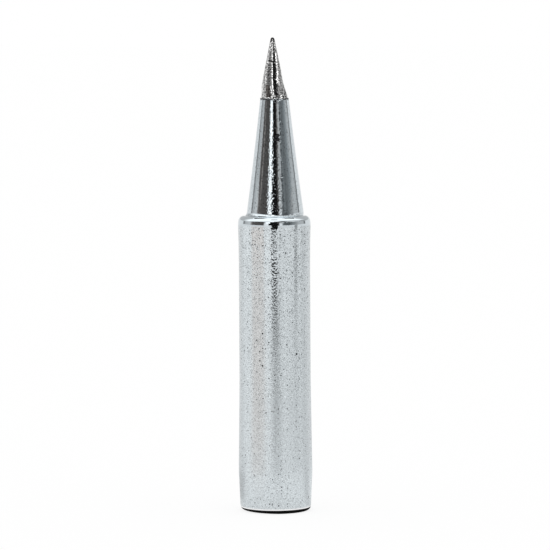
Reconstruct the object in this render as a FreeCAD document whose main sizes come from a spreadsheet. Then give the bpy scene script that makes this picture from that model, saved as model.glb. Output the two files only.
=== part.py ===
import FreeCAD, Part
import math
import os

import Sketcher
from FreeCAD import Placement, Rotation, Vector

# A slip-on conical soldering tip, turned from one bar and bored from the rear for its heater.
# Z runs along the shank's axis. The origin is the centre of the rear face, and the point is up.

# Driving dimensions, in millimetres, and in degrees where the name ends in angle or lean
DRIVING = (
    # Shank, from the rear face up to the shoulder
    ("shank_length", 26.78),
    ("shank_dia", 6.44),
    ("lead_in", 0.15),        # radius lost from the ridge down to the rear face
    ("rear_round", 0.5),
    ("ridge_height", 3.5),
    ("ridge_rise", 0.115),    # how far the ridge stands out from the shank
    ("flare_length", 8.5),    # from the ridge up to the straight shank
    ("collar_length", 1.9),   # straight band below the shoulder
    ("collar_rise", 0.06),
    ("collar_taper", 2.4),    # from the straight shank up to that band
    # Heater bore, drilled from the rear face
    ("bore_dia", 4.2),
    ("bore_end_wall", 2.28),  # from the end of the straight bore to the shoulder face
    ("bore_chamfer", 0.22),
    ("drill_angle", 118.0),
    # Shoulder and cone
    ("shoulder_ledge", 0.68),
    ("shoulder_round", 0.48),
    ("root_radius", 0.18),
    ("cone_length", 10.47),
    ("cone_top_dia", 2.57),
    # Working point, bare of the plating that covers the cone
    ("plating_step", 0.08),
    ("point_length", 5.45),
    ("flank_radius", 130.0),
    ("nose_radius", 0.18),
    ("point_lean", 1.25),
)

# Radii and heights that follow from the driving dimensions
DERIVED = (
    ("shank_radius", "sizes.shank_dia / 2"),
    ("ridge_radius", "sizes.shank_dia / 2 + sizes.ridge_rise"),
    ("rear_radius", "sizes.shank_dia / 2 + sizes.ridge_rise - sizes.lead_in"),
    ("collar_radius", "sizes.shank_dia / 2 + sizes.collar_rise"),
    ("flare_top", "sizes.ridge_height + sizes.flare_length"),
    ("collar_foot", "sizes.shank_length - sizes.collar_length - sizes.collar_taper"),
    ("collar_start", "sizes.shank_length - sizes.collar_length"),
    ("cone_root_radius", "sizes.shank_dia / 2 + sizes.collar_rise - sizes.shoulder_ledge"),
    ("cone_top_radius", "sizes.cone_top_dia / 2"),
    ("cone_top", "sizes.shank_length + sizes.cone_length"),
    ("point_radius", "sizes.cone_top_dia / 2 - sizes.plating_step"),
    ("point_root", "sizes.cone_top_dia / 8"),
    ("nose_centre", "sizes.point_length - sizes.nose_radius"),
    ("bore_depth", "sizes.shank_length - sizes.bore_end_wall"),
    ("rear_wall", "sizes.shank_dia / 2 + sizes.ridge_rise - sizes.lead_in - sizes.bore_dia / 2"),
)

# Shares of the wall or ledge that a round or chamfer may take up at most
ROUND_SHARE_OF_LEDGE = 0.72
ROOT_SHARE_OF_LEDGE = 0.27
ROUND_SHARE_OF_WALL = 0.47
CHAMFER_SHARE_OF_WALL = 0.25

# Sketcher's numbers for its axes and for the points of a line, an arc or a circle
ACROSS = -1
UPRIGHT = -2
ORIGIN = (-1, 1)
START = 1
END = 2
CENTRE = 3

TOUCHING = 1e-6


def make_sheet(doc):
    """Puts the driving dimensions in a sheet, one named cell to a row."""
    sheet = doc.addObject("Spreadsheet::Sheet", "sizes")
    for row, (alias, value) in enumerate(DRIVING, start=1):
        sheet.set(f"A{row}", alias.replace("_", " "))
        sheet.set(f"B{row}", str(value))
        sheet.setAlias(f"B{row}", alias)
    doc.recompute()


def make_levels(doc):
    """Works out the radii and heights that several features share."""
    levels = doc.addObject("App::VarSet", "levels")
    for name, formula in DERIVED:
        levels.addProperty("App::PropertyFloat", name)
        levels.setExpression(name, formula)
    doc.recompute()


def number(doc, name):
    """The value of a name in sizes or levels. No name is zero, which is on the axis or the base."""
    if name is None:
        return 0.0
    holder, alias = name.split(".")
    return getattr(doc.getObject(holder), alias)


def new_sketch(body, name, role):
    """A sketch on the origin plane of the body that has this role."""
    plane = next(item for item in body.Origin.OriginFeatures if item.Role == role)
    sketch = body.newObject("Sketcher::SketchObject", name)
    sketch.AttachmentSupport = [(plane, "")]
    sketch.MapMode = "FlatFace"
    return sketch


def bind(sketch, constraint, name):
    """Adds a constraint whose size follows a name or a formula."""
    index = sketch.addConstraint(Sketcher.Constraint(*constraint))
    sketch.setExpression(f"Constraints[{index}]", name)


def hold_start(sketch, line, across, height):
    """Ties the start of a line to a named radius and a named height."""
    point = sketch.getPoint(line, START)
    for kind, axis, name, place in (
        ("DistanceX", UPRIGHT, across, point.x),
        ("DistanceY", ACROSS, height, point.y),
    ):
        if name is None:
            sketch.addConstraint(Sketcher.Constraint("PointOnObject", line, START, axis))
        else:
            bind(sketch, (kind, *ORIGIN, line, START, place), name)


def draw_outline(sketch, corners):
    """A closed outline of straight lines, from corner to corner and back to the first."""
    doc = sketch.Document
    points = [Vector(number(doc, across), number(doc, height), 0) for across, height in corners]
    for start, finish in zip(points, points[1:] + points[:1]):
        sketch.addGeometry(Part.LineSegment(start, finish))
    for line, (across, height) in enumerate(corners):
        following = (line + 1) % len(corners)
        sketch.addConstraint(Sketcher.Constraint("Coincident", line, END, following, START))
        hold_start(sketch, line, across, height)


def revolve(body, name, sketch):
    turned = body.newObject("PartDesign::Revolution", name)
    turned.Profile = sketch
    turned.ReferenceAxis = (sketch, ["V_Axis"])
    turned.Angle = 360
    sketch.Visibility = False
    body.Document.recompute()


def turn_blank(body):
    """Half section of shank, shoulder and cone, turned about the shank's axis."""
    sketch = new_sketch(body, "blank_section", "XZ_Plane")
    draw_outline(sketch, (
        (None, None),
        ("levels.rear_radius", None),
        ("levels.ridge_radius", "sizes.ridge_height"),
        ("levels.shank_radius", "levels.flare_top"),
        ("levels.shank_radius", "levels.collar_foot"),
        ("levels.collar_radius", "levels.collar_start"),
        ("levels.collar_radius", "sizes.shank_length"),
        ("levels.cone_root_radius", "sizes.shank_length"),
        ("levels.cone_top_radius", "levels.cone_top"),
        (None, "levels.cone_top"),
    ))
    revolve(body, "turned_blank", sketch)


def flank_centre(base, nose, flank_radius, nose_radius):
    """Centre of the flank arc, which passes through base and runs smoothly into the nose arc."""
    reach = flank_radius - nose_radius
    span = (nose - base).Length
    along = (span ** 2 + flank_radius ** 2 - reach ** 2) / (2 * span)
    aside = math.sqrt(flank_radius ** 2 - along ** 2)
    direction = (nose - base).normalize()
    return base + direction * along - Vector(direction.y, -direction.x, 0) * aside


def turn_point(body):
    """Half section of the working point, turned about an axis that leans off the shank's axis."""
    doc = body.Document
    sketch = new_sketch(body, "point_section", "XZ_Plane")
    lean = number(doc, "sizes.point_lean")
    sketch.AttachmentOffset = Placement(Vector(0, 0, 0), Rotation(Vector(0, 0, 1), lean))
    sketch.setExpression("AttachmentOffset.Base.y", "levels.cone_top")
    sketch.setExpression("AttachmentOffset.Rotation.Angle", "sizes.point_lean")

    root = number(doc, "levels.point_root")
    radius = number(doc, "levels.point_radius")
    nose = Vector(0, number(doc, "levels.nose_centre"), 0)
    base = Vector(radius, 0, 0)
    flank_radius = number(doc, "sizes.flank_radius")
    nose_radius = number(doc, "sizes.nose_radius")
    centre = flank_centre(base, nose, flank_radius, nose_radius)
    join = nose + (nose - centre).normalize() * nose_radius
    apex = nose + Vector(0, nose_radius, 0)
    root_angle = math.asin((-root - centre.y) / flank_radius)
    join_angle = math.atan2(join.y - centre.y, join.x - centre.x)
    root_end = centre + Vector(math.cos(root_angle), math.sin(root_angle), 0) * flank_radius
    up = Vector(0, 0, 1)

    root_line = sketch.addGeometry(Part.LineSegment(Vector(0, -root, 0), root_end))
    flank = sketch.addGeometry(
        Part.ArcOfCircle(Part.Circle(centre, up, flank_radius), root_angle, join_angle))
    nose_arc = sketch.addGeometry(
        Part.ArcOfCircle(Part.Circle(nose, up, nose_radius), join_angle, math.pi / 2))
    axis_line = sketch.addGeometry(Part.LineSegment(apex, Vector(0, -root, 0)))
    edge_mark = sketch.addGeometry(Part.Point(base), True)

    for constraint in (
        ("Coincident", root_line, END, flank, START),
        ("Tangent", flank, END, nose_arc, START),
        ("Coincident", nose_arc, END, axis_line, START),
        ("Coincident", axis_line, END, root_line, START),
        ("Horizontal", root_line),
        ("PointOnObject", root_line, START, UPRIGHT),
        ("PointOnObject", nose_arc, END, UPRIGHT),
        ("PointOnObject", nose_arc, CENTRE, UPRIGHT),
        ("PointOnObject", edge_mark, START, ACROSS),
        ("PointOnObject", edge_mark, START, flank),
    ):
        sketch.addConstraint(Sketcher.Constraint(*constraint))
    bind(sketch, ("DistanceX", *ORIGIN, edge_mark, START, radius), "levels.point_radius")
    bind(sketch, ("DistanceY", root_line, START, *ORIGIN, root), "levels.point_root")
    bind(sketch, ("DistanceY", *ORIGIN, nose_arc, CENTRE, nose.y), "levels.nose_centre")
    bind(sketch, ("Radius", flank, flank_radius), "sizes.flank_radius")
    bind(sketch, ("Radius", nose_arc, nose_radius), "sizes.nose_radius")
    revolve(body, "working_point", sketch)


def ring_edge(feature, radius, height):
    """Name of the full circle of this radius that lies level at this height."""
    for count, edge in enumerate(feature.Shape.Edges, start=1):
        if not (edge.isClosed() and isinstance(edge.Curve, Part.Circle)):
            continue
        level = abs(edge.Curve.Center.z - height) < TOUCHING
        if level and abs(edge.Curve.Radius - radius) < TOUCHING:
            return f"Edge{count}"
    raise RuntimeError(f"no ring of radius {radius:.3f} at height {height:.3f}")


def round_ring(body, name, radius_level, height_level, formula):
    """Fillets the ring that lies at the named radius and height."""
    doc = body.Document
    turned = body.Tip
    ring = ring_edge(turned, number(doc, radius_level), number(doc, height_level))
    fillet = body.newObject("PartDesign::Fillet", name)
    fillet.Base = (turned, [ring])
    fillet.setExpression("Radius", formula)
    doc.recompute()


def round_edges(body):
    """Rounds of the shoulder and the rear edge, and the fillet where the cone leaves the shoulder."""
    round_ring(body, "shoulder_round", "levels.collar_radius", "sizes.shank_length",
               f"min(sizes.shoulder_round; {ROUND_SHARE_OF_LEDGE} * sizes.shoulder_ledge)")
    round_ring(body, "cone_root_fillet", "levels.cone_root_radius", "sizes.shank_length",
               f"min(sizes.root_radius; {ROOT_SHARE_OF_LEDGE} * sizes.shoulder_ledge)")
    round_ring(body, "rear_round", "levels.rear_radius", None,
               f"min(sizes.rear_round; {ROUND_SHARE_OF_WALL} * levels.rear_wall)")


def drill_bore(body):
    """Blind hole for the heater, with the drill's point at its end and a chamfered mouth."""
    doc = body.Document
    sketch = new_sketch(body, "bore_circle", "XY_Plane")
    radius = number(doc, "sizes.bore_dia") / 2
    circle = sketch.addGeometry(Part.Circle(Vector(0, 0, 0), Vector(0, 0, 1), radius))
    sketch.addConstraint(Sketcher.Constraint("Coincident", circle, CENTRE, *ORIGIN))
    bind(sketch, ("Radius", circle, radius), "sizes.bore_dia / 2")
    doc.recompute()

    solid_before = body.Shape.Volume
    bore = body.newObject("PartDesign::Hole", "heater_bore")
    bore.Profile = sketch
    bore.Reversed = True
    bore.DepthType = "Dimension"
    bore.DrillPoint = "Angled"
    bore.HoleCutType = "Countersink"
    bore.HoleCutCustomValues = True
    bore.HoleCutCountersinkAngle = 90
    bore.setExpression("Diameter", "sizes.bore_dia")
    bore.setExpression("Depth", "levels.bore_depth")
    bore.setExpression("DrillPointAngle", "sizes.drill_angle")
    bore.setExpression(
        "HoleCutDiameter",
        "sizes.bore_dia"
        f" + 2 * min(sizes.bore_chamfer; {CHAMFER_SHARE_OF_WALL} * levels.rear_wall)")
    sketch.Visibility = False
    doc.recompute()

    removed = solid_before - body.Shape.Volume
    straight = math.pi * radius ** 2 * number(doc, "levels.bore_depth")
    if removed < straight:
        raise RuntimeError(f"the bore took out {removed:.1f} cubic mm, less than {straight:.1f}")


def check(doc):
    """Stops on any object that failed, and on any piece that isn't one valid solid."""
    for item in doc.Objects:
        if "Invalid" in item.State or "Error" in item.State:
            raise RuntimeError(f"{item.Label} failed: {item.State}")
    for body in pieces(doc):
        shape = body.Shape
        if shape.isNull() or not shape.isValid() or len(shape.Solids) != 1:
            raise RuntimeError(f"{body.Label} isn't one valid solid")


def pieces(doc):
    return [item for item in doc.Objects if item.TypeId == "PartDesign::Body"]


def main():
    doc = FreeCAD.newDocument("soldering_tip")
    make_sheet(doc)
    make_levels(doc)
    body = doc.addObject("PartDesign::Body", "soldering_tip")
    body.Label = "soldering_tip"
    turn_blank(body)
    round_edges(body)
    drill_bore(body)
    turn_point(body)
    check(doc)

    os.makedirs("parts", exist_ok=True)
    for piece in pieces(doc):
        shape = piece.Shape
        shape.exportStep(f"parts/{piece.Label}.step")
        print(f"{piece.Label}: {shape.Volume:.2f} cubic mm, {shape.BoundBox}")


main()
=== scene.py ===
import math

import bpy
import numpy as np
from mathutils import Matrix, Vector


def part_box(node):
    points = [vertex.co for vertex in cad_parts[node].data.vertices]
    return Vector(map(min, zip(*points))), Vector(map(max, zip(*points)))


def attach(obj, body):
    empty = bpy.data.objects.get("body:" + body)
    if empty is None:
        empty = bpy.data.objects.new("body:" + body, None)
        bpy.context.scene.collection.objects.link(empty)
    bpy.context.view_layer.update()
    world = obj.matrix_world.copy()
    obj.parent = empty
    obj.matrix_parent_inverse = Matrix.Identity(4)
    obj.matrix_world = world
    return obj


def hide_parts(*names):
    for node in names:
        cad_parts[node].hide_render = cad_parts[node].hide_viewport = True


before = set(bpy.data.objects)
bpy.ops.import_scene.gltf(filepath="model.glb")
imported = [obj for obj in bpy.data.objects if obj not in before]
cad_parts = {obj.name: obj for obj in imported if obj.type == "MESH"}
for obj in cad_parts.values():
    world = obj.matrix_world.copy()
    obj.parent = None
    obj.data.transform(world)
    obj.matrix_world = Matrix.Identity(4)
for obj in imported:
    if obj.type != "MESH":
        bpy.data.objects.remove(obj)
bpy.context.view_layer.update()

mm = 0.001
tipNode = "soldering_tip"
lowest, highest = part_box(tipNode)
tipHeight = (highest.z - lowest.z) / mm          # 42.7, rear face to working point
ridgeRadius = (highest.y - lowest.y) / 2 / mm    # the widest ring, just above the rear edge
print("frame: %.2f mm tall, %.2f mm wide" % (tipHeight, 2 * ridgeRadius))


ridgeRise = 0.115    # how far the ridge stands out from the straight shank

# Sizes of the turned body in millimetres. Heights are taken from the rear face.
turned = {
    "rearRound": 0.44, "rearTilt": 1.4, "tiltStart": 0.3, "tiltFade": 2.0, "leadIn": 0.15,
    "ridgeHeight": 3.5, "ridgeRound": 5.0,
    "shankRadius": ridgeRadius - ridgeRise, "flareTop": 12.0, "flareRound": 60.0,
    "collarRise": 0.018, "collarFoot": 22.4, "collarStart": 24.2, "collarRound": 14.0,
    "lipRise": 0.066, "lipHeight": 26.0, "lipRound": 1.8, "lipTaper": 0.10,
    "shankLength": 26.72, "shoulderRound": 0.53, "coneFootRadius": 2.60, "rootRound": 0.13,
    "coneWaist": 32.0, "coneWaistRadius": 1.90, "coneRound": 400.0,
    "coneTop": 37.25, "coneTopRadius": 1.285, "coneTopRound": 0.02,
}

# How the axis wanders sideways above the shoulder: the cone runs out to +X, and the point is bent to -X.
# The shift comes in between two heights, which are taken from the shoulder.
axis = {
    "coneShift": 0.09, "shiftFrom": -0.05, "shiftTo": 0.25,
    "coneLean": 0.06, "pointBend": 0.148, "bendLength": 1.35,
}

# The bore for the heater, open at the rear face. The faces within its mouth's radius take its finish, up
# to a gap below the shoulder.
bore = {"radius": 2.1, "chamfer": 0.22, "depth": 24.5, "drillAngle": 118.0, "finishGap": 0.3}

# The bare working point above the plating. The solder below the crease stands out, and that fades down
# to the step's end. Lumps and grains shrink with the radius, but not below the thinnest share.
workingPoint = {
    "rootRadius": 1.205, "flankRadius": 130.0, "noseRadius": 0.175,
    "lumps": 0.003, "lumpSize": 0.55, "grains": 0.0010, "grainSize": 0.13, "thinnest": 0.1,
    "creaseHeight": 3.30, "creaseStep": 0.004, "creaseWidth": 0.06, "creaseDip": 0.12,
    "stepEnd": 2.2, "stepFade": 2.0, "noseFade": 0.8,
}

# How the plating ends at the point: a thin torn edge
platingEdge = {"ragged": 0.05, "teeth": 40, "fade": 0.4}

# Columns round the axis, and the spacing of the rows in millimetres. Small rounds have their own spacing.
meshing = {
    "columns": 232, "point": 0.046, "nose": 0.02, "edge": 0.03, "cone": 0.14,
    "rounds": 0.05, "smallRound": 1.0, "shank": 0.24, "end": 0.1, "bore": 1.6,
}

seeds = {"lumps": 11, "grains": 12, "edge": 13}


def lineRows(start, finish, spacing):
    # Straight stretch from start to finish: (1 - t) * start + t * finish, without its last point
    start, finish = np.array(start), np.array(finish)
    count = max(1, math.ceil(np.linalg.norm(finish - start) / spacing))
    t = np.arange(count)[:, None] / count
    return (1 - t) * start + t * finish


def arcRows(centre, radius, fromAngle, toAngle, spacing):
    # Round stretch: centre + radius * (cos t, sin t), t running between the angles, without its last point
    count = max(2, math.ceil(radius * abs(toAngle - fromAngle) / spacing))
    t = fromAngle + (toAngle - fromAngle) * np.arange(count) / count
    return np.array(centre) + radius * np.column_stack([np.cos(t), np.sin(t)])


def roundedRows(corners):
    # A path through corners (radius, height, round, spacing). Each round is the arc that touches both
    # of its straights: it starts round * tan(turn / 2) before the corner and ends as far past it.
    places = [np.array(corner[:2], float) for corner in corners]
    rows, start = [], places[0]
    for index in range(1, len(corners) - 1):
        before, here, after = places[index - 1:index + 2]
        radius, spacing = corners[index][2], corners[index - 1][3]
        arriving = (here - before) / np.linalg.norm(here - before)
        leaving = (after - here) / np.linalg.norm(after - here)
        turn = math.atan2(arriving[0] * leaving[1] - arriving[1] * leaving[0], arriving @ leaving)
        if radius == 0 or abs(turn) < 1e-6:
            rows.append(lineRows(start, here, spacing))
            start = here
            continue
        reach = radius * math.tan(abs(turn) / 2)
        side = math.copysign(1, turn)
        first = here - arriving * reach
        centre = first + radius * side * np.array([-arriving[1], arriving[0]])
        fromAngle = math.atan2(first[1] - centre[1], first[0] - centre[0])
        arcSpacing = min(spacing, meshing["rounds"]) if radius < meshing["smallRound"] else spacing
        rows.append(lineRows(start, first, spacing))
        rows.append(arcRows(centre, radius, fromAngle, fromAngle + turn, arcSpacing))
        start = here + leaving * reach
    rows.append(lineRows(start, places[-1], corners[-2][3]))
    return np.concatenate(rows)


def pointRows():
    # Half section of the point, from its nose down to the plating: a nose arc, then a flank arc of
    # radius F whose centre is F from the root and F - n from the nose's centre, n the nose's radius
    root = np.array([workingPoint["rootRadius"], turned["coneTop"]])
    flank, nose = workingPoint["flankRadius"], workingPoint["noseRadius"]
    noseCentre = np.array([0, tipHeight - nose])
    span = np.linalg.norm(noseCentre - root)
    along = (span ** 2 + flank ** 2 - (flank - nose) ** 2) / (2 * span)
    direction = (noseCentre - root) / span
    aside = math.sqrt(flank ** 2 - along ** 2)
    centre = root + direction * along - np.array([direction[1], -direction[0]]) * aside
    joinAngle = math.atan2(*(noseCentre - centre)[::-1])
    rootAngle = math.atan2(*(root - centre)[::-1])
    return np.concatenate([
        arcRows(noseCentre, nose, math.pi / 2, joinAngle, meshing["nose"]),
        arcRows(centre, flank, joinAngle, rootAngle, meshing["point"]),
    ])


def bodyRows():
    # Half section from the plating's end down the outside, across the rear face and up the bore
    t, spacing = turned, meshing
    collarRadius = t["shankRadius"] + t["collarRise"]
    lipRadius = t["shankRadius"] + t["lipRise"]
    rearRadius = ridgeRadius - t["leadIn"]
    drillTip = bore["depth"] + bore["radius"] / math.tan(math.radians(bore["drillAngle"] / 2))
    mouth = bore["radius"] + bore["chamfer"]
    return roundedRows([
        (workingPoint["rootRadius"], t["coneTop"], 0, spacing["edge"]),
        (t["coneTopRadius"], t["coneTop"], t["coneTopRound"], spacing["cone"]),
        (t["coneWaistRadius"], t["coneWaist"], t["coneRound"], spacing["cone"]),
        (t["coneFootRadius"], t["shankLength"], t["rootRound"], spacing["rounds"]),
        (lipRadius - t["lipTaper"], t["shankLength"], t["shoulderRound"], spacing["rounds"]),
        (lipRadius, t["lipHeight"], t["lipRound"], spacing["rounds"]),
        (collarRadius, t["collarStart"], t["collarRound"], spacing["shank"]),
        (t["shankRadius"], t["collarFoot"], t["flareRound"], spacing["shank"]),
        (t["shankRadius"], t["flareTop"], t["flareRound"], spacing["shank"]),
        (ridgeRadius, t["ridgeHeight"], t["ridgeRound"], spacing["shank"]),
        (rearRadius, 0, t["rearRound"], spacing["end"]),
        (mouth, 0, 0, spacing["end"]),
        (bore["radius"], bore["chamfer"], 0, spacing["bore"]),
        (bore["radius"], bore["depth"], 0, spacing["bore"]),
        (0, drillTip, 0, spacing["bore"]),
    ]), drillTip


def rippleField(angle, height, cellSize, radius, seed):
    # Smooth random field between -1 and 1: random values on a lattice that wraps round the axis,
    # blended across each cell by 3 t^2 - 2 t^3 in both directions
    cellsRound = max(3, round(2 * math.pi * radius / cellSize))
    across, up = angle / (2 * math.pi) * cellsRound, (height - height.min()) / cellSize
    lattice = np.random.default_rng(seed).uniform(-1, 1, (cellsRound, int(up.max()) + 3))
    column, row = np.floor(across).astype(int), np.floor(up).astype(int)
    s, t = across - column, up - row
    s, t = s * s * (3 - 2 * s), t * t * (3 - 2 * t)
    here, following = column % cellsRound, (column + 1) % cellsRound
    low = (1 - s) * lattice[here, row] + s * lattice[following, row]
    high = (1 - s) * lattice[here, row + 1] + s * lattice[following, row + 1]
    return (1 - t) * low + t * high


def smoothStep(value, low, high):
    # 3 t^2 - 2 t^3 with t the value's place between low and high, held to 0..1
    t = np.clip((value - low) / (high - low), 0, 1)
    return t * t * (3 - 2 * t)


def gridFaces(rows, columns):
    # Quads between neighbouring rows that wrap round the axis, and a fan at each of the two poles.
    # Vertex 0 is the first pole, then the rows follow, and the last vertex is the other pole.
    row, column = np.meshgrid(np.arange(rows - 1), np.arange(columns), indexing="ij")
    following = (column + 1) % columns
    a, b = 1 + row * columns + column, 1 + row * columns + following
    quads = np.stack([a, a + columns, b + columns, b], axis=-1).reshape(-1, 4)
    ring = np.arange(columns)
    after = (ring + 1) % columns
    last = 1 + (rows - 1) * columns
    top = np.column_stack([np.zeros(columns, int), 1 + ring, 1 + after])
    bottom = np.column_stack([last + ring, np.full(columns, last + columns), last + after])
    return quads.tolist() + top.tolist() + bottom.tolist()


def pointOffsets(angle, height, radius):
    # How far the bare point's skin stands off its turned form: lumps and grains of solder as flat as the
    # point is thin, and a crease at height c - dip * cos(a), with a taken from the front, below which the
    # solder stands out by a step
    p = workingPoint
    above = height - turned["coneTop"]
    lumps = rippleField(angle, height, p["lumpSize"], p["rootRadius"], seeds["lumps"])
    grains = rippleField(angle, height, p["grainSize"], p["rootRadius"], seeds["grains"])
    nose = smoothStep(tipHeight - height, 0.0, p["noseFade"])
    below = p["creaseHeight"] - p["creaseDip"] * np.cos(angle + math.pi / 2) - above
    step = p["creaseStep"] * smoothStep(below, -p["creaseWidth"], p["creaseWidth"])
    step = step * smoothStep(p["stepEnd"] - below, 0, p["stepFade"])
    thin = np.clip(radius / p["rootRadius"], p["thinnest"], 1)
    return (p["lumps"] * lumps + p["grains"] * grains) * thin + (step - p["creaseStep"] / 2) * nose


def axisShift(height):
    # Sideways place of the axis: 0 on the shank, then shift - tan(lean) * (height above the shoulder)
    # on the cone, less the bend, which comes in smoothly over the foot of the point
    shoulder = turned["shankLength"]
    foot = smoothStep(height, shoulder + axis["shiftFrom"], shoulder + axis["shiftTo"])
    lean = math.tan(math.radians(axis["coneLean"])) * np.clip(height - shoulder, 0, None)
    bend = axis["pointBend"] * smoothStep(height, turned["coneTop"], turned["coneTop"] + axis["bendLength"])
    return axis["coneShift"] * foot - lean - bend


def turnedSkin():
    # Surface of revolution: (r cos a, r sin a, z) for each row (r, z) and column angle a, then pushed
    # along its own half section's normal, and moved sideways with the axis
    point = pointRows()
    body, drillTip = bodyRows()
    profile = np.concatenate([point[1:], body])
    columns = meshing["columns"]
    angle = (np.arange(columns) + 0.5) * 2 * math.pi / columns + math.pi / 2
    radius, height = (np.repeat(values[:, None], columns, 1) for values in profile.T)
    angle = np.repeat(angle[None, :], len(profile), 0)

    slope = np.gradient(profile, axis=0)
    normal = np.column_stack([-slope[:, 1], slope[:, 0]]) / np.linalg.norm(slope, axis=1)[:, None]
    bare = np.arange(len(profile)) < len(point) - 1
    offset = np.zeros_like(radius)
    offset[bare] = pointOffsets(angle[bare], height[bare], radius[bare])
    radius = radius + offset * normal[:, :1]
    height = height + offset * normal[:, 1:]

    # Torn edge of the plating: the rows near the step ride up and down, less the further they are
    outside = np.arange(len(profile))[:, None] < len(profile) - len(body) + outerRows(body)
    torn = rippleField(angle, height, 2 * math.pi / platingEdge["teeth"], 1, seeds["edge"])
    near = np.exp(-((height - turned["coneTop"]) / platingEdge["fade"]) ** 2)
    height = height + platingEdge["ragged"] * torn * near * outside

    x = radius * np.cos(angle) + axisShift(height) * outside
    y = radius * np.sin(angle)

    # The rear face is cut a little askew: left of its start it rises by tan(tilt) * (start - x), which
    # fades out up the shank
    rise = math.tan(math.radians(turned["rearTilt"])) * np.clip(turned["tiltStart"] - x, 0, None)
    height = height + rise * (1 - smoothStep(height, 0, turned["tiltFade"]))
    rings = np.stack([x, y, height], axis=-1).reshape(-1, 3)
    apex = [[float(axisShift(np.array(tipHeight))), 0, tipHeight]]
    places = np.concatenate([apex, rings, [[0, 0, drillTip]]]) * mm
    return places, gridFaces(len(profile), columns), len(point) - 1, len(profile)


def outerRows(body):
    # How many of the body's rows come before the rear face
    return int(np.argmax(body[:, 1] <= 0))


def makeTip():
    places, faces, bareRows, rows = turnedSkin()
    mesh = bpy.data.meshes.new("platedTip")
    mesh.from_pydata(places.tolist(), [], faces)
    mesh.polygons.foreach_set("use_smooth", np.ones(len(faces), bool))
    tip = bpy.data.objects.new("platedTip", mesh)
    bpy.context.scene.collection.objects.link(tip)
    for finish in (platedFinish(), bareFinish(), boreFinish()):
        mesh.materials.append(finish)
    centres = np.zeros(len(faces) * 3)
    mesh.polygons.foreach_get("center", centres)
    centres = centres.reshape(-1, 3)
    outward = np.hypot(centres[:, 0], centres[:, 1]) / mm
    slots = np.zeros(len(faces), int)
    columns = meshing["columns"]
    quadRows = np.arange((rows - 1) * columns) // columns
    slots[:len(quadRows)][quadRows < bareRows] = 1
    slots[(rows - 1) * columns:rows * columns] = 1
    inMouth = outward < bore["radius"] + bore["chamfer"]
    slots[inMouth & (centres[:, 2] / mm < turned["shankLength"] - bore["finishGap"])] = 2
    mesh.polygons.foreach_set("material_index", slots)
    mesh.update()
    print("tip: %d faces, %d rows of %d" % (len(faces), rows, columns))
    return tip


def addNode(tree, kind, links=None, **settings):
    # A shader node with its settings, whose sockets are linked or set
    made = tree.nodes.new("ShaderNode" + kind)
    for name, value in settings.items():
        setattr(made, name, value)
    for name, value in (links or {}).items():
        if isinstance(value, bpy.types.NodeSocket):
            tree.links.new(value, made.inputs[name])
        else:
            made.inputs[name].default_value = value
    return made


def maths(tree, operation, *values, clamp=False):
    return addNode(tree, "Math", dict(enumerate(values)), operation=operation, use_clamp=clamp).outputs[0]


def noise(tree, place, size, detail=2.0):
    # Noise between 0 and 1 whose features are about size millimetres across
    links = {"Vector": place, "Scale": 1 / (size * mm), "Detail": detail}
    return addNode(tree, "TexNoise", links).outputs["Fac"]


def mapped(tree, value, fromLow, fromHigh, toLow, toHigh):
    # The value's place between the first two numbers, held to 0..1, as a place between the last two
    links = {"Value": value, "From Min": fromLow, "From Max": fromHigh, "To Min": toLow, "To Max": toHigh}
    return addNode(tree, "MapRange", links, clamp=True).outputs["Result"]


def mixColour(tree, amount, first, second):
    made = addNode(tree, "Mix", data_type="RGBA")
    for index, value in ((0, amount), (6, first), (7, second)):
        if isinstance(value, bpy.types.NodeSocket):
            tree.links.new(value, made.inputs[index])
        else:
            made.inputs[index].default_value = value
    return made.outputs[2]


def spots(tree, place, kind):
    # Spots of random size: each cell of a Voronoi pattern draws a number, and only the cells whose
    # number is in the top share hold a spot, which is larger the higher the number
    cells = addNode(tree, "TexVoronoi", {"Vector": place, "Scale": 1 / (kind["spacing"] * mm)})
    luck = addNode(tree, "SeparateColor", {"Color": cells.outputs["Color"]}).outputs["Red"]
    reach = mapped(tree, luck, 1 - kind["share"], 1, 0, kind["reach"])
    return maths(tree, "MULTIPLY", maths(tree, "SUBTRACT", reach, cells.outputs["Distance"]),
                 1 / kind["edge"], clamp=True)


def newFinish(name, finish):
    # A metal with one shader, and Object coordinates for its patterns
    material = bpy.data.materials.new(name)
    material.use_nodes = True
    tree = material.node_tree
    tree.nodes.clear()
    shader = addNode(tree, "BsdfPrincipled", {"Metallic": finish["metallic"]})
    output = addNode(tree, "OutputMaterial")
    tree.links.new(shader.outputs["BSDF"], output.inputs["Surface"])
    place = addNode(tree, "TexCoord").outputs["Object"]
    return material, tree, shader, place


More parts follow.
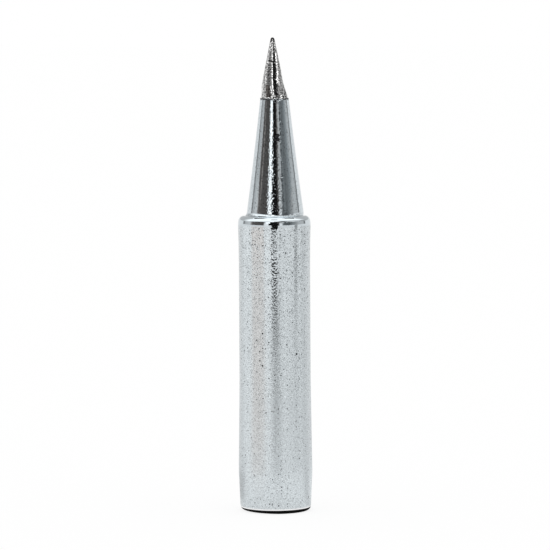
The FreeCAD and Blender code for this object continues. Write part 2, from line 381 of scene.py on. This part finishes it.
# Bright plating: satin and pitted on the shank, smoother towards the shoulder, polished on the cone.
# Stops are shares of the shank's height with the value there.
plating = {
    "metallic": 1.0, "specular": 0.05,
    "satinColour": (0.765, 0.822, 0.848, 1), "polishedColour": (0.62, 0.675, 0.705, 1),
    "stainColour": (0.06, 0.065, 0.07, 1), "pitAndShadowColour": (0.025, 0.027, 0.029, 1),
    "roughness": [
        (0.0, 0.30), (0.45, 0.27), (0.67, 0.21), (0.82, 0.14), (0.93, 0.08), (0.966, 0.07), (1.0, 0.04),
    ],
    # the grain's relief, and the strength of it from which the colour is all satin
    "grainByHeight": [
        (0.0, 0.8), (0.5, 0.8), (0.75, 0.9), (0.88, 0.9), (0.955, 0.9), (0.965, 0.3), (0.970, 0.0),
    ],
    "grainSize": 0.12, "grainHeight": 0.010, "satinFull": 0.5,
    # dark speckles, which come in as their noise falls from high to low
    "speckleByHeight": [
        (0.0, 0.35), (0.45, 0.5), (0.7, 0.8), (0.85, 1.0), (0.958, 1.0), (0.967, 0.3), (0.972, 0.0),
        (0.999, 0.0), (1.0, 0.6),
    ],
    "speckleSize": 0.09, "speckleLow": 0.28, "speckleHigh": 0.34,
    # a rubbed line down the front where the skin is dented: its place and half width, the dents' size and
    # depth, and how far forward of the axis it is there in full
    "rubbedPlace": -0.05, "rubbedWidth": 0.45, "rubbedSize": 0.155, "rubbedGain": 4.5, "rubbedFront": 1.0,
    "rubbedByHeight": [(0.0, 0.0), (0.62, 0.0), (0.78, 0.5), (0.87, 1.0), (0.955, 1.0), (0.965, 0.0)],
    # micro-waves of the polished cone: strongest just above the shoulder, with a small share of that on the
    # shoulder. They are whole up to an inner share of a distance to either side, and weak past the distance.
    "rippleSize": 0.13, "rippleHeight": 0.013, "rippleFoot": 27.3, "rippleTop": 37.0, "rippleFade": 0.45,
    "rippleShoulder": 0.08, "rippleAside": 1.0, "rippleInner": 0.7, "rippleShare": 0.2,
    # painted shadow: the dark line under the plating's torn edge
    "seamShadowFoot": 37.08, "seamShadowTop": 37.18, "seamRagged": 0.45, "seamSize": 0.16,
    # painted highlight on the bright edge at the foot, with a share of the roughness; painted contact shadow
    # below it
    "edgeTop": 0.49, "edgeFade": 0.06, "edgeHighlightColour": (0.95, 0.95, 0.96, 1), "edgeRoughness": 0.4,
    "rimShadowTop": 0.36, "rimShadowFade": 0.02, "rimShadowColour": (0.005, 0.005, 0.005, 1), "rimShadowRoughness": 0.6,
    # spots: the spacing of their cells, the share of cells that hold one, and its largest radius and its
    # edge as shares of a cell
    "pits": {"spacing": 0.27, "share": 0.5, "reach": 0.27, "edge": 0.05},
    "specks": {"spacing": 0.15, "share": 0.7, "reach": 0.38, "edge": 0.07},
    "speckShare": 0.65, "pitDepth": 0.05,
    # a fine mottle over the satin: its size, its noise's range, and how far it goes towards the stain
    "mottleSize": 0.085, "mottleLow": 0.42, "mottleHigh": 0.58, "mottleShare": 0.29,
    # single marks: degrees round from the front, height, radius. On the cone their place goes by its taper.
    "nicks": [
        (-2.4, 22.5, 0.10), (-20.0, 16.3, 0.09), (-20.4, 13.4, 0.09), (36.9, 14.4, 0.10), (31.8, 3.3, 0.10),
        (17.9, 23.5, 0.08), (7.0, 33.85, 0.22), (11.5, 33.95, 0.20), (12.5, 33.6, 0.18), (4.5, 33.55, 0.20),
    ],
    "coneTaper": 0.125,
}

# A mark's edge is all dark by one value, and stops being metal from a higher one, so that it doesn't
# scatter light
markEdge = {"darkBy": 0.4, "bareFrom": 0.6}


def ramp(tree, value, stops):
    # Grey value that runs straight between its stops, each a place from 0 to 1 and a shade
    made = addNode(tree, "ValToRGB", {"Fac": value})
    elements = made.color_ramp.elements
    for element, (place, shade) in zip(elements, (stops[0], stops[-1])):
        element.position = place
        element.color = (shade, shade, shade, 1)
    for place, shade in stops[1:-1]:
        elements.new(place).color = (shade, shade, shade, 1)
    return made.outputs["Color"]


def nick(tree, place, angle, height, size, radius, aside=0.0):
    # One round mark on the skin: 1 within half of its radius and 0 past it
    a = math.radians(angle)
    centre = ((radius * math.sin(a) + aside) * mm, -radius * math.cos(a) * mm, height * mm)
    away = addNode(tree, "VectorMath", {0: place, 1: centre}, operation="DISTANCE").outputs["Value"]
    return mapped(tree, away, size * mm, 0.5 * size * mm, 0, 1)


def markedColour(tree, mark, colour, dark):
    return mixColour(tree, mapped(tree, mark, 0, markEdge["darkBy"], 0, 1), colour, dark)


def markedBare(tree, mark, others):
    # Where the skin isn't metal: at other spots, and in the inner part of a mark
    return maths(tree, "MAXIMUM", others, mapped(tree, mark, markEdge["bareFrom"], 1, 0, 1))


def platedFinish():
    p = plating
    material, tree, shader, place = newFinish("brightPlating", p)
    aside, forward, height = addNode(tree, "SeparateXYZ", {"Vector": place}).outputs
    share = mapped(tree, height, 0, turned["shankLength"] * mm, 0, 1)
    strength = ramp(tree, share, p["grainByHeight"])
    satin = mapped(tree, strength, 0, p["satinFull"], 0, 1)
    off = maths(tree, "ABSOLUTE", maths(tree, "SUBTRACT", aside, p["rubbedPlace"] * mm))
    rubbed = mapped(tree, off, p["rubbedWidth"] * mm, 0.5 * p["rubbedWidth"] * mm, 0, p["rubbedGain"])
    rubbed = maths(tree, "MULTIPLY", rubbed, mapped(tree, forward, 0, -p["rubbedFront"] * mm, 0, 1))
    rubbed = maths(tree, "MULTIPLY", rubbed, ramp(tree, share, p["rubbedByHeight"]))

    grain = noise(tree, place, p["grainSize"], detail=1.5)
    speckle = noise(tree, place, p["speckleSize"], detail=0.0)
    pits = spots(tree, place, p["pits"])
    specks = maths(tree, "MULTIPLY", spots(tree, place, p["specks"]), p["speckShare"])
    dotted = maths(tree, "MULTIPLY", maths(tree, "MAXIMUM", pits, specks), satin)
    nicked = 0.0
    for angle, z, size in p["nicks"]:
        coneRadius = turned["coneTopRadius"] + (turned["coneTop"] - z) * p["coneTaper"]
        radius = turned["shankRadius"] if z < turned["shankLength"] else coneRadius
        nicked = maths(tree, "MAXIMUM", nicked, nick(tree, place, angle, z, size, radius))

    colour = mixColour(tree, satin, p["polishedColour"], p["satinColour"])
    shade = maths(tree, "MULTIPLY", mapped(tree, speckle, p["speckleHigh"], p["speckleLow"], 0, 1),
                  ramp(tree, share, p["speckleByHeight"]))
    mottle = noise(tree, place, p["mottleSize"], detail=1.0)
    mottle = mapped(tree, mottle, p["mottleLow"], p["mottleHigh"], 0, p["mottleShare"])
    shade = maths(tree, "MAXIMUM", shade, maths(tree, "MULTIPLY", mottle, satin))
    colour = mixColour(tree, shade, colour, p["stainColour"])
    colour = mixColour(tree, dotted, colour, p["pitAndShadowColour"])
    colour = markedColour(tree, nicked, colour, p["pitAndShadowColour"])
    bared = markedBare(tree, nicked, dotted)
    # painted shadow of the plating's torn edge: a ragged dark line just under it
    torn = maths(tree, "SUBTRACT", noise(tree, place, p["seamSize"]), 0.5)
    torn = maths(tree, "MULTIPLY", torn, p["seamRagged"] * mm)
    seam = mapped(tree, maths(tree, "ADD", height, torn), p["seamShadowFoot"] * mm, p["seamShadowTop"] * mm, 0, 1)
    colour = mixColour(tree, seam, colour, p["pitAndShadowColour"])
    # painted highlight: the bright edge's colour is raised towards white. Painted contact shadow: the rim
    # below it is black and not metal
    edge = mapped(tree, height, p["edgeTop"] * mm, (p["edgeTop"] - p["edgeFade"]) * mm, 0, 1)
    rim = mapped(tree, height, p["rimShadowTop"] * mm, (p["rimShadowTop"] - p["rimShadowFade"]) * mm, 0, 1)
    colour = mixColour(tree, edge, colour, p["edgeHighlightColour"])
    colour = mixColour(tree, rim, colour, p["rimShadowColour"])
    tree.links.new(colour, shader.inputs["Base Color"])
    tree.links.new(mapped(tree, maths(tree, "MAXIMUM", bared, rim), 0, 1, 1, 0), shader.inputs["Metallic"])
    shader.inputs["Specular IOR Level"].default_value = p["specular"]

    smoother = mapped(tree, edge, 0, 1, 1, p["edgeRoughness"])
    rough = maths(tree, "MULTIPLY", ramp(tree, share, p["roughness"]), smoother)
    rough = maths(tree, "MAXIMUM", rough, maths(tree, "MULTIPLY", rim, p["rimShadowRoughness"]))
    tree.links.new(rough, shader.inputs["Roughness"])

    dents = maths(tree, "MULTIPLY", noise(tree, place, p["rubbedSize"], detail=0.0), rubbed)
    relief = maths(tree, "ADD", maths(tree, "MULTIPLY", grain, strength), dents)
    relief = maths(tree, "SUBTRACT", relief, maths(tree, "MULTIPLY", dotted, p["pitDepth"]))
    swell = p["rippleHeight"] / p["grainHeight"]
    fading = mapped(tree, height, p["rippleFoot"] * mm, p["rippleTop"] * mm, swell, p["rippleFade"] * swell)
    onCone = mapped(tree, height, turned["shankLength"] * mm, p["rippleFoot"] * mm, p["rippleShoulder"], 1)
    inner = p["rippleInner"] * p["rippleAside"] * mm
    inFront = mapped(tree, off, p["rippleAside"] * mm, inner, p["rippleShare"], 1)
    ripple = maths(tree, "MULTIPLY", noise(tree, place, p["rippleSize"], detail=0.0),
                   maths(tree, "MULTIPLY", maths(tree, "MULTIPLY", fading, onCone), inFront))
    bump = addNode(tree, "Bump", {"Height": maths(tree, "ADD", relief, ripple), "Strength": 1.0,
                                  "Distance": p["grainHeight"] * mm})
    tree.links.new(bump.outputs["Normal"], shader.inputs["Normal"])
    return material


# Tinned iron of the working point: plain grey, grainy, with small dark pits, and painted shade that darkens
# the nose
bareIron = {
    "metallic": 1.0, "specular": 0.05,
    "colour": (0.86, 0.86, 0.855, 1), "stain": (0.22, 0.218, 0.215, 1), "pitAndShadowColour": (0.03, 0.03, 0.03, 1),
    "stainSize": 0.105, "stainLow": 0.47, "stainHigh": 0.53,
    "roughness": 0.05, "stainRoughness": 0.10, "grainSize": 0.13, "grainHeight": 0.003,
    # the nose's painted shade starts and is in full at these distances below the very top
    "noseShadeFrom": 0.20, "noseShadeFull": 0.06,
    "pits": {"spacing": 0.24, "share": 0.85, "reach": 0.38, "edge": 0.05},
    "pitRoughness": 0.6, "pitDepth": 0.3,
    # dark marks: degrees round from the front, height, radius. First the crease's line, a painted shadow
    # along the crease, then single pits, the notch at the foot, and the nose's sides, painted shade along its
    # outline.
    "nicks": [
        (-38, 40.60, 0.08), (-28, 40.59, 0.08), (-18, 40.57, 0.09), (-8, 40.54, 0.10), (6, 40.46, 0.11),
        (-59, 40.01, 0.10), (-29, 39.35, 0.09), (-61, 39.06, 0.11), (66, 37.78, 0.13), (70, 37.95, 0.11),
        (58, 37.62, 0.12), (43, 37.38, 0.11), (62, 37.38, 0.11), (-88, 42.44, 0.28), (88, 42.46, 0.24),
    ],
}


def bareFinish():
    b = bareIron
    material, tree, shader, place = newFinish("tinnedIron", b)
    stains = mapped(tree, noise(tree, place, b["stainSize"], detail=1.0), b["stainLow"], b["stainHigh"], 0, 1)
    height = addNode(tree, "SeparateXYZ", {"Vector": place}).outputs["Z"]
    # painted shade: the nose darkens towards the very top
    noseShadeFoot, noseShadeFull = (tipHeight - b["noseShadeFrom"]) * mm, (tipHeight - b["noseShadeFull"]) * mm
    marks = mapped(tree, height, noseShadeFoot, noseShadeFull, 0, 1)
    pits = spots(tree, place, b["pits"])
    radii, heights = pointRows()[::-1].T
    # the marks are real pits, plus painted shadow along the crease and painted shade on the nose's sides
    for angle, z, size in b["nicks"]:
        radius, aside = float(np.interp(z, heights, radii)), float(axisShift(np.array(z)))
        marks = maths(tree, "MAXIMUM", marks, nick(tree, place, angle, z, size, radius, aside))
    colour = mixColour(tree, stains, b["colour"], b["stain"])
    colour = mixColour(tree, pits, colour, b["pitAndShadowColour"])
    colour = markedColour(tree, marks, colour, b["pitAndShadowColour"])
    pits = markedBare(tree, marks, pits)
    tree.links.new(colour, shader.inputs["Base Color"])
    tree.links.new(mapped(tree, pits, 0, 1, 1, 0), shader.inputs["Metallic"])
    shader.inputs["Specular IOR Level"].default_value = b["specular"]
    rough = mapped(tree, stains, 0, 1, b["roughness"], b["stainRoughness"])
    rough = maths(tree, "MAXIMUM", rough, maths(tree, "MULTIPLY", pits, b["pitRoughness"]))
    tree.links.new(rough, shader.inputs["Roughness"])
    sunk = maths(tree, "MULTIPLY", pits, b["pitDepth"])
    grain = maths(tree, "SUBTRACT", noise(tree, place, b["grainSize"]), sunk)
    bump = addNode(tree, "Bump", {"Height": grain, "Strength": 1.0, "Distance": b["grainHeight"] * mm})
    tree.links.new(bump.outputs["Normal"], shader.inputs["Normal"])
    return material


# Inside the bore the plating is thin, and the drilled copper shows through more the higher up
boreWall = {
    "metallic": 1.0, "colour": (0.50, 0.46, 0.42, 1), "copper": (0.45, 0.28, 0.19, 1),
    "copperFrom": 0.5, "copperTo": 7.0, "copperSize": 0.9,
    "roughness": 0.45, "toolMarks": 0.35, "markHeight": 0.004,
}


def boreFinish():
    b = boreWall
    material, tree, shader, place = newFinish("drilledBore", b)
    height = addNode(tree, "SeparateXYZ", {"Vector": place}).outputs["Z"]
    deep = mapped(tree, height, b["copperFrom"] * mm, b["copperTo"] * mm, 0, 1)
    worn = maths(tree, "MULTIPLY", deep, noise(tree, place, b["copperSize"], detail=4.0))
    tree.links.new(mixColour(tree, worn, b["colour"], b["copper"]), shader.inputs["Base Color"])
    shader.inputs["Roughness"].default_value = b["roughness"]
    marks = maths(tree, "SINE", maths(tree, "MULTIPLY", height, 2 * math.pi / (b["toolMarks"] * mm)))
    bump = addNode(tree, "Bump", {"Height": marks, "Strength": 1.0, "Distance": b["markHeight"] * mm})
    tree.links.new(bump.outputs["Normal"], shader.inputs["Normal"])
    return material


tip = makeTip()
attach(tip, "root")
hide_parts(tipNode)
print("tip: replaces", tipNode)


# The studio: a white table and, all round it, tiers of screens that only the metal's reflections see, with
# cards inside them, flags on the table, and bars under an overhead light. The point's steep flanks see the
# upper tier, and the cone and the shoulder see the lower one. Sizes are in metres. Angles are in degrees
# from the camera, to the right as the camera looks, and shades are linear.
table = {
    "radius": 16.0, "sides": 96,
    "colour": (0.985, 0.985, 0.985, 1), "whiteShare": 0.85, "shineShare": 0.6,
}
screens = {
    "radius": 0.45, "height": 0.60, "columns": 720,
    # steepness, from the top of the cone, of the lines between the tiers. The upper tier's stops spread
    # in a number of steps from the first line to the second.
    "lowSeam": 16.4, "highSeam": 24.5, "topSeam": 40.0, "steps": 10,
    # height and shade of the plain foot of the screens
    "skirt": 0.045, "skirtShade": 0.95,
    # angle, shade, warmth (above 0 is warmer, below 0 is cooler)
    "lower": [
        (-180, 1.0, 0.0), (-160, 0.95, 0.0), (-145, 0.92, 0.0), (-123, 0.97, 0.0), (-116, 0.93, 0.0),
        (-114, 0.50, 0.0), (-112, 0.20, 0.0), (-109, 0.24, 0.0), (-106, 0.50, 0.0), (-100, 0.60, 0.0),
        (-96, 0.56, 0.0), (-90, 0.62, 0.0), (-84, 0.62, 0.0), (-81, 0.30, 0.05), (-78, 0.12, 0.1),
        (-71, 0.09, 0.1), (-69.5, 0.27, 0.1), (-66.5, 0.27, 0.1), (-64, 0.12, 0.1), (-56, 0.09, 0.1),
        (-40, 0.09, 0.1), (-34, 0.06, 0.1), (-32, 0.5, 0.0), (-29, 0.9, 0.0), (-26, 1.6, 0.0),
        (-16, 1.8, 0.0), (-14, 1.2, 0.0), (-12.5, 0.02, 0.0), (7, 0.02, 0.1), (10, 0.06, 0.1),
        (12, 0.14, 0.1), (16, 0.20, 0.05), (19, 0.55, 0.03), (29, 0.58, 0.0), (32, 0.25, -0.05),
        (34, 0.06, -0.05), (37.5, 0.06, -0.05), (39, 0.27, -0.05), (44, 0.22, -0.05), (48, 0.17, -0.05),
        (56, 0.20, -0.05), (64, 0.24, -0.05), (72, 0.32, -0.05), (80, 0.41, -0.05), (88, 0.56, 0.0),
        (102, 0.62, 0.0), (107, 0.42, 0.0), (109, 0.22, 0.0), (112, 0.18, 0.0), (114, 0.55, 0.0),
        (116, 0.95, 0.0), (122, 0.98, 0.0), (145, 0.93, 0.0), (160, 0.95, 0.0), (180, 1.0, 0.0),
    ],
    # angle at the low line, angle at the high line, shade
    "upper": [
        (-180, -180, 1.0), (-140, -160, 1.0), (-124, -150, 0.65), (-110, -140, 0.55), (-98, -130, 0.9),
        (-75, -100, 0.9), (-64, -88, 0.45), (-55, -80, 0.20), (-22, -34, 0.22), (-9, -18, 0.5),
        (-6, -14, 2.0), (3, -5, 2.0), (4.5, -3, 0.01), (23, 68, 0.01), (25, 71, 0.3),
        (27, 73, 2.0), (37, 98, 2.0), (41, 104, 0.6), (54, 118, 0.38), (72, 130, 0.45),
        (95, 146, 0.55), (112, 152, 0.55), (125, 160, 0.7), (140, 170, 1.0), (180, 180, 1.0),
    ],
    # a floating ring that the shoulder's lip and the cone's sides see: its distance, foot and top, and
    # angle, shade, warmth
    "ring": (0.060, 0.028, 0.038),
    "lip": [
        (-180, 1.0, 0.0), (-145, 0.92, 0.0), (-123, 0.97, 0.0), (-116, 0.93, 0.0), (-114, 0.50, 0.0),
        (-112, 0.20, 0.0), (-109, 0.24, 0.0), (-106, 0.50, 0.0), (-100, 0.60, 0.0), (-82, 0.75, 0.0),
        (-75, 0.25, 0.1), (-71, 0.12, 0.1), (-34, 0.09, 0.1), (-31, 1.0, 0.0), (-19, 1.2, 0.0),
        (-17, 0.01, 0.0), (15, 0.01, 0.0), (17, 1.1, 0.0), (24, 1.0, 0.0), (28, 0.18, -0.05),
        (48, 0.10, -0.05), (55, 0.22, -0.05), (72, 0.4, 0.0), (84, 0.6, 0.0), (102, 0.62, 0.0),
        (107, 0.42, 0.0), (109, 0.22, 0.0), (112, 0.18, 0.0), (114, 0.55, 0.0), (116, 0.95, 0.0),
        (122, 0.98, 0.0), (145, 0.93, 0.0), (180, 1.0, 0.0),
    ],
    # the foot tier stands on the skirt and repeats the upper tier's shades: the steepness of the line over
    # it, and how far it is let down
    "footSeam": 10.5, "footDrop": 0.030,
    # angle, shade, in the tier over the upper one and in the crown over that
    "top": [
        (-180, 0.62), (-120, 0.62), (-95, 1.5), (10, 1.5), (25, 0.45), (110, 0.45), (140, 0.62), (180, 0.62),
    ],
    "crown": [(-180, 0.62), (-125, 0.62), (-100, 1.5), (100, 1.5), (125, 0.62), (180, 0.62)],
}
cards = {
    # standing: distance, foot, top, from and to angle, shade
    "lensFoot": (0.17, 0.0, 0.045, -9.0, 12.0, 0.01),
    "lensCard": (0.17, 0.045, 0.087, -12.5, 8.0, 0.01),
    "lowPost": (0.24, 0.0, 0.032, 67.0, 78.0, 0.38),
    "stripCard": (0.44, 0.0, 0.080, -34.0, -14.0, 1.0),
}
flags = {
    # lying on the table: from and to angle, from and to distance, shade, warmth
    "rightFlag": (92.0, 120.0, 0.004, 0.44, 0.74, 0.0),
    "backFlag": (120.0, 242.0, 0.03, 0.44, 0.84, 0.0),
    "leftFlag": (-150.0, -105.0, 0.008, 0.03, 0.62, 0.0),
    "warmFlag": (-78.0, -34.0, 0.03, 0.44, 0.82, 0.085),
    "sideFlag": (8.0, 88.0, 0.03, 0.44, 0.86, 0.0),
    # painted shadow: a black disc, seen only in reflections, that stands in for the contact shadow under the
    # rear edge
    "contactShadowFlag": (-180.0, 180.0, 0.0, 0.00325, 0.0, 0.0),
    "edgeRing": (-180.0, 180.0, 0.00325, 0.008, 0.9, 0.0),
}
bars = {
    # hanging under the overhead light, for the shoulder's thin grey arcs: the same six values
    "leftArcBar": (-150.0, -108.0, 0.20, 0.45, 0.03, 0.0),
    "rightArcBar": (108.0, 150.0, 0.20, 0.45, 0.03, 0.0),
    "frontArcBar": (-16.0, 16.0, 0.25, 0.39, 0.10, 0.0),
}
flagHeight = 0.02 * mm
barHeight = 0.64
overhead = {"height": 0.66, "radius": 0.58, "sides": 64, "shade": 1.5}
sectorColumns = 24    # columns of a card, a flag or a bar


def stagePiece(name, places, faces, material):
    mesh = bpy.data.meshes.new(name)
    mesh.from_pydata(places.tolist(), [], faces.tolist())
    mesh.materials.append(material)
    piece = bpy.data.objects.new(name, mesh)
    bpy.context.scene.collection.objects.link(piece)
    return piece


def onlyInReflections(piece):
    piece.visible_camera = False
    piece.visible_diffuse = False
    piece.visible_shadow = False
    piece.visible_transmission = False
    piece.visible_volume_scatter = False


def makeTable():
    # A round table top: (R cos a, R sin a, 0)
    sides = table["sides"]
    angle = np.arange(sides) * 2 * math.pi / sides
    places = table["radius"] * np.column_stack([np.cos(angle), np.sin(angle), 0 * angle])
    material = bpy.data.materials.new("whiteTable")
    material.use_nodes = True
    tree = material.node_tree
    tree.nodes.clear()
    paper = addNode(tree, "BsdfDiffuse", {"Color": table["colour"]})
    white = addNode(tree, "Emission", {"Color": (1, 1, 1, 1), "Strength": 1.0})
    ray = addNode(tree, "LightPath").outputs
    seen = maths(tree, "MULTIPLY", ray["Is Camera Ray"], table["whiteShare"])
    mirrored = maths(tree, "MAXIMUM", ray["Is Glossy Ray"], ray["Is Transmission Ray"])
    share = maths(tree, "MAXIMUM", seen, maths(tree, "MULTIPLY", mirrored, table["shineShare"]))
    both = addNode(tree, "MixShader", {0: share, 1: paper.outputs["BSDF"], 2: white.outputs["Emission"]})
    output = addNode(tree, "OutputMaterial")
    tree.links.new(both.outputs["Shader"], output.inputs["Surface"])
    material.cycles.emission_sampling = "NONE"
    stagePiece("tableTop", places, np.arange(sides)[None, :], material)


def glow(name):
    # Emission whose colour is the mesh's own shade attribute
    material = bpy.data.materials.new(name)
    material.use_nodes = True
    tree = material.node_tree
    tree.nodes.clear()
    shade = addNode(tree, "Attribute", attribute_name="shade").outputs["Color"]
    light = addNode(tree, "Emission", {"Color": shade, "Strength": 1.0})
    output = addNode(tree, "OutputMaterial")
    tree.links.new(light.outputs["Emission"], output.inputs["Surface"])
    material.cycles.emission_sampling = "NONE"
    return material


def glowingPiece(name, places, faces, colours):
    # A stage piece that glows in the colours of its vertices and shows only in reflections
    piece = stagePiece(name, places, faces, glow(name + "Light"))
    shade = piece.data.attributes.new("shade", "FLOAT_COLOR", "POINT")
    shade.data.foreach_set("color", colours.ravel())
    onlyInReflections(piece)


def standingScreen(name, radius, levels, colours):
    # A wall through level lines: (R sin a, -R cos a, z), each line with its own angles a and heights z
    lines = []
    for angles, height in levels:
        a = np.radians(angles)
        lines.append(np.column_stack([radius * np.sin(a), -radius * np.cos(a), height + 0 * a]))
    count = len(colours)
    line, column = np.meshgrid(np.arange(len(levels) - 1), np.arange(count - 1), indexing="ij")
    first = (line * count + column).ravel()
    faces = np.column_stack([first, first + 1, first + 1 + count, first + count])
    glowingPiece(name, np.concatenate(lines), faces, np.concatenate([colours] * len(levels)))


def warmed(shade, warmth):
    # A grey with its red raised by the warmth and its blue lowered by half of it
    return np.column_stack([shade * (1 + warmth), shade, shade * (1 - 0.5 * warmth), np.ones_like(shade)])


def alongStops(angles, stops):
    # The colours at the angles: shade and warmth run straight between their stops
    places, shades, warmths = np.array(stops).T
    return warmed(np.interp(angles, places, shades), np.interp(angles, places, warmths))


def makeScreens():
    # A seam is at z = cone top + radius * tan(slope * cos(angle / 2))
    radius, angles = screens["radius"], np.linspace(-180, 180, screens["columns"] + 1)
    upperPlaces, upperSpread, upperShades = np.array(screens["upper"]).T
    spread = np.interp(angles, upperPlaces, upperSpread)

    def seam(slope, places):
        steepness = np.radians(slope * np.cos(np.radians(places / 2)))
        return turned["coneTop"] * mm + radius * np.tan(steepness)

    lower = alongStops(angles, screens["lower"])
    upper = warmed(np.interp(angles, upperPlaces, upperShades), 0)
    levels = []
    for share in np.linspace(0, 1, screens["steps"] + 1):
        slope = (1 - share) * screens["lowSeam"] + share * screens["highSeam"]
        places = (1 - share) * angles + share * spread
        levels.append((places, seam(slope, places)))
    skirtTop = (angles, screens["skirt"])
    footLine = seam(screens["footSeam"], angles) - screens["footDrop"]
    footTop = (angles, np.maximum(footLine, screens["skirt"]))
    skirt = np.full_like(lower, screens["skirtShade"])
    standingScreen("skirtScreen", radius, [(angles, 0), skirtTop], skirt)
    standingScreen("footScreen", radius, [skirtTop, footTop], upper)
    standingScreen("lowerScreen", radius, [footTop, levels[0]], lower)
    away, foot, top = screens["ring"]
    lip = alongStops(angles, screens["lip"])
    standingScreen("lipScreen", away, [(angles, foot), (angles, top)], lip)
    standingScreen("upperScreen", radius, levels, upper)
    topLevel = (spread, seam(screens["topSeam"], spread))
    crownLevel = (spread, screens["height"])
    for name, begins, ends in (("top", levels[-1], topLevel), ("crown", topLevel, crownLevel)):
        places, shades = np.array(screens[name]).T
        colours = warmed(np.interp(spread, places, shades), 0)
        standingScreen(name + "Screen", radius, [begins, ends], colours)
    for name, (distance, foot, top, fromAngle, toAngle, shade) in cards.items():
        across = np.linspace(fromAngle, toAngle, sectorColumns)
        standingScreen(name, distance, [(across, foot), (across, top)], np.full((sectorColumns, 4), shade))


def makeFlags(sectors, height):
    # Flat sectors at one height: (d sin a, -d cos a, height), d at the near and the far distance
    for name, (fromAngle, toAngle, near, far, shade, warmth) in sectors.items():
        a = np.radians(np.linspace(fromAngle, toAngle, sectorColumns))
        around = np.column_stack([np.sin(a), -np.cos(a), 0 * a])
        places = np.concatenate([around * near, around * far]) + [0, 0, height]
        column = np.arange(sectorColumns - 1)
        beyond = column + sectorColumns
        faces = np.column_stack([column, beyond, beyond + 1, column + 1])
        glowingPiece(name, places, faces, warmed(np.full(2 * sectorColumns, shade), warmth))


def makeOverhead():
    # A round soft light straight above: (R cos a, R sin a, h)
    sides = overhead["sides"]
    angle = np.arange(sides) * 2 * math.pi / sides
    rim = overhead["radius"] * np.column_stack([np.cos(angle), np.sin(angle), 0 * angle])
    places = rim + [0, 0, overhead["height"]]
    glowingPiece("overhead", places, np.arange(sides)[None, :], np.full((sides, 4), overhead["shade"]))


def makeWorld():
    world = bpy.data.worlds.new("whiteRoom")
    bpy.context.scene.world = world
    world.use_nodes = True
    background = world.node_tree.nodes["Background"]
    background.inputs["Color"].default_value = (1, 1, 1, 1)
    background.inputs["Strength"].default_value = 1.0


# The camera looks slightly down from the height of the working point. Places are in millimetres.
view = {
    "distance": 296.0, "height": tipHeight, "aimHeight": 21.324, "aside": 0.04, "roll": 0.3,
    "focalPixels": 3290.6, "picture": 550, "sensor": 36.0, "clipStart": 10.0, "clipEnd": 50000.0,
}


def makeCamera():
    lens = bpy.data.cameras.new("productCamera")
    lens.sensor_width = view["sensor"]
    lens.lens = view["focalPixels"] / view["picture"] * view["sensor"]
    lens.clip_start = view["clipStart"] * mm
    lens.clip_end = view["clipEnd"] * mm
    camera = bpy.data.objects.new("productCamera", lens)
    bpy.context.scene.collection.objects.link(camera)
    place = Vector((view["aside"], -view["distance"], view["height"])) * mm
    aim = Vector((view["aside"], 0, view["aimHeight"])) * mm
    turn = (aim - place).to_track_quat("-Z", "Y").to_matrix().to_4x4()
    roll = Matrix.Rotation(math.radians(-view["roll"]), 4, "Z")
    camera.matrix_world = Matrix.Translation(place) @ turn @ roll
    bpy.context.scene.camera = camera


makeTable()
makeScreens()
makeFlags(flags, flagHeight)
makeFlags(bars, barHeight)
makeOverhead()
makeWorld()
makeCamera()
bpy.context.scene.view_settings.view_transform = "Standard"
print("studio: table, screens, world and camera")
